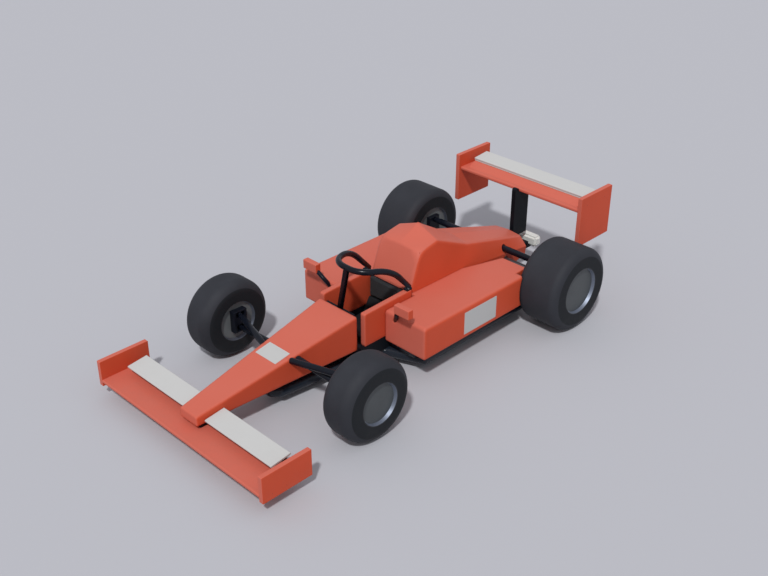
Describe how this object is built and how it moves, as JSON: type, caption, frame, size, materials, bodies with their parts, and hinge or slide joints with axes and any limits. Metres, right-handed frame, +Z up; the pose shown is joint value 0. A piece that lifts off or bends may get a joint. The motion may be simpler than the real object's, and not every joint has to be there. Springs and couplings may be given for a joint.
{
  "type": "open wheel racing car",
  "caption": "Single-seat open wheel racing car with front and rear wings, sidepods, a halo over the cockpit, steered front wheels and free rolling wheels.",
  "frame": {"origin": "on the ground under the middle of the car, the centre of the bounding box's base", "axes": "+Y to the rear, +X to the driver's left, +Z up"},
  "size_m": [2, 4.0628, 0.9384],
  "materials": {
    "red_paint": "satin",
    "white_paint": "satin",
    "gloss_black": "gloss",
    "black_composite": "matt",
    "headrest_cloth": "matt",
    "black_tube": "gloss",
    "black_metal": "satin",
    "cast_alloy": "cast",
    "steel": "machined",
    "mirror_glass": "polished",
    "pale_block": "matt",
    "tyre_rubber": "matt",
    "rim_metal": "satin"
  },
  "bodies": {
    "chassis": {"floor": "gloss_black", "nose": "red_paint", "cockpit_tub": "black_composite", "cockpit_side_left": "red_paint", "cockpit_side_right": "red_paint", "seat": "black_composite", "headrest": "headrest_cloth", "engine_cover": "red_paint", "engine": "cast_alloy", "gearbox": "cast_alloy", "sidepod_left": "red_paint", "sidepod_right": "red_paint", "halo": "black_tube", "mirror_left": "red_paint", "mirror_right": "red_paint", "mirror_stays": "black_tube", "mirror_glasses": "mirror_glass", "front_wing_plane": "red_paint", "front_flaps": "white_paint", "front_endplate_left": "red_paint", "front_endplate_right": "red_paint", "front_wing_hangers": "black_composite", "rear_wing_plane": "red_paint", "rear_flap": "white_paint", "rear_endplate_left": "red_paint", "rear_endplate_right": "red_paint", "rear_wing_pylon": "black_composite", "crash_structure": "black_composite", "tail_block": "pale_block", "front_arms": "black_tube", "rear_arms": "black_tube", "rear_upright_left": "black_metal", "rear_upright_right": "black_metal"},
    "knuckle_left": {"front_upright_left": "black_metal"},
    "knuckle_right": {"front_upright_right": "black_metal"},
    "wheel_front_left": {"tyre_front_left": "tyre_rubber", "rim_front_left": "rim_metal"},
    "wheel_front_right": {"tyre_front_right": "tyre_rubber", "rim_front_right": "rim_metal"},
    "wheel_rear_left": {"tyre_rear_left": "tyre_rubber", "rim_rear_left": "rim_metal", "driveshaft_left": "steel"},
    "wheel_rear_right": {"tyre_rear_right": "tyre_rubber", "rim_rear_right": "rim_metal", "driveshaft_right": "steel"}
  },
  "joints": [
    {"name": "steer_left", "type": "hinge", "parent": "chassis", "child": "knuckle_left", "pos_m": [0.6184, -0.9626, 0.3355], "axis": [0, 0, 1], "range_deg": [-20, 20]},
    {"name": "steer_right", "type": "hinge", "parent": "chassis", "child": "knuckle_right", "pos_m": [-0.6184, -0.9626, 0.3355], "axis": [0, 0, 1], "range_deg": [-20, 20]},
    {"name": "roll_front_left", "type": "hinge", "parent": "knuckle_left", "child": "wheel_front_left", "pos_m": [0.7784, -0.9626, 0.3209], "axis": [1, 0, 0], "continuous": true},
    {"name": "roll_front_right", "type": "hinge", "parent": "knuckle_right", "child": "wheel_front_right", "pos_m": [-0.7784, -0.9626, 0.3209], "axis": [1, 0, 0], "continuous": true},
    {"name": "roll_rear_left", "type": "hinge", "parent": "chassis", "child": "wheel_rear_left", "pos_m": [0.8075, 1.2341, 0.3541], "axis": [1, 0, 0], "continuous": true},
    {"name": "roll_rear_right", "type": "hinge", "parent": "chassis", "child": "wheel_rear_right", "pos_m": [-0.8075, 1.2341, 0.3541], "axis": [1, 0, 0], "continuous": true}
  ],
  "couplings": [
    {"joint": "steer_right", "follows": "steer_left", "ratio": 1}
  ]
}
